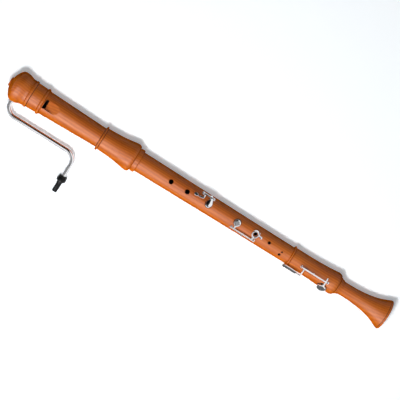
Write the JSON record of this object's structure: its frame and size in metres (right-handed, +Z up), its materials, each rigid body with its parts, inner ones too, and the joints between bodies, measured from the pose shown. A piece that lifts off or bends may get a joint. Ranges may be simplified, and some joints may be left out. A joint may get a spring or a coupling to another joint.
{
  "type": "bass recorder",
  "caption": "Bass recorder of turned wood: cap with dome, head with window, middle joint, flared foot, chrome keys on rods, and a bent crook with a black beak that sits in the cap.",
  "frame": {"origin": "on the table under the middle of the whole instrument as it lies on its back", "axes": "+X along the bore from the cap to the bell, +Z up out of the finger holes; the crook leaves the cap towards -Y"},
  "size_m": [0.97, 0.1908, 0.071],
  "materials": {
    "wood": "satin, warm orange-brown with a fine grain along the bore",
    "cedar": "plain, unvarnished",
    "cork": "matte, fine granulated",
    "chrome": "mirror polish",
    "steel": "blued, smooth",
    "black": "gloss",
    "pad": "matte",
    "ivory": "satin"
  },
  "bodies": {
    "middle": {"middle_joint": "wood", "upper_tenon_cork": "cork", "lower_tenon_cork": "cork", "thumb_bush": "ivory", "thumb_rest": "chrome", "thumb_rest_screw_1": "steel", "thumb_rest_screw_2": "steel", "sling_ring": "chrome", "key_3_post_1": "chrome", "key_3_post_2": "chrome", "key_3_rod": "chrome", "key_3_spring": "steel", "key_3_stop_cork": "cork", "key_4_post_1": "chrome", "key_4_post_2": "chrome", "key_4_rod": "chrome", "key_4_spring": "steel", "key_4_stop_cork": "cork"},
    "head": {"head_joint": "wood", "block": "cedar", "head_tenon_cork": "cork"},
    "cap": {"cap": "wood", "crook_socket": "chrome"},
    "crook": {"crook_tube": "chrome", "crook_cork": "cork", "mouthpiece_cork": "cork"},
    "mouthpiece": {"mouthpiece": "black"},
    "foot": {"foot_joint": "wood", "foot_key_post_1": "chrome", "foot_key_post_2": "chrome", "foot_key_rod": "chrome", "foot_key_spring": "steel", "foot_key_stop_cork": "cork"},
    "key_3": {"key_3": "chrome", "key_3_pad": "pad"},
    "key_4": {"key_4": "chrome", "key_4_pad": "pad"},
    "foot_key": {"foot_key": "chrome", "foot_key_pad": "pad"}
  },
  "joints": [
    {"name": "head_pull", "type": "slide", "parent": "middle", "child": "head", "axis": [-1, 0, 0], "range_m": [0, 0.045]},
    {"name": "cap_pull", "type": "slide", "parent": "head", "child": "cap", "axis": [-1, 0, 0], "range_m": [0, 0.03]},
    {"name": "crook_turn", "type": "hinge", "parent": "cap", "child": "crook", "pos_m": [-0.4614, 0.05993, 0.0355], "axis": [0, -0.9802, -0.1982], "continuous": true},
    {"name": "mouthpiece_pull", "type": "slide", "parent": "crook", "child": "mouthpiece", "axis": [0, -0.9802, -0.1982], "range_m": [0, 0.02]},
    {"name": "foot_turn", "type": "hinge", "parent": "middle", "child": "foot", "pos_m": [0.2338, 0.05993, 0.0355], "axis": [1, 0, 0], "continuous": true},
    {"name": "key_3_hinge", "type": "hinge", "parent": "middle", "child": "key_3", "pos_m": [0, 0.07653, 0.05499], "axis": [1, 0, 0], "range_deg": [0, 12], "stiffness_Nm_per_rad": 0.02, "springref_deg": -11.46},
    {"name": "key_4_hinge", "type": "hinge", "parent": "middle", "child": "key_4", "pos_m": [0.12, 0.04433, 0.05484], "axis": [-1, 0, 0], "range_deg": [0, 12], "stiffness_Nm_per_rad": 0.02, "springref_deg": -11.46},
    {"name": "foot_key_hinge", "type": "hinge", "parent": "foot", "child": "foot_key", "pos_m": [0.3, 0.05193, 0.06309], "axis": [1, 0, 0], "range_deg": [0, 9], "stiffness_Nm_per_rad": 0.02, "springref_deg": -11.46}
  ]
}
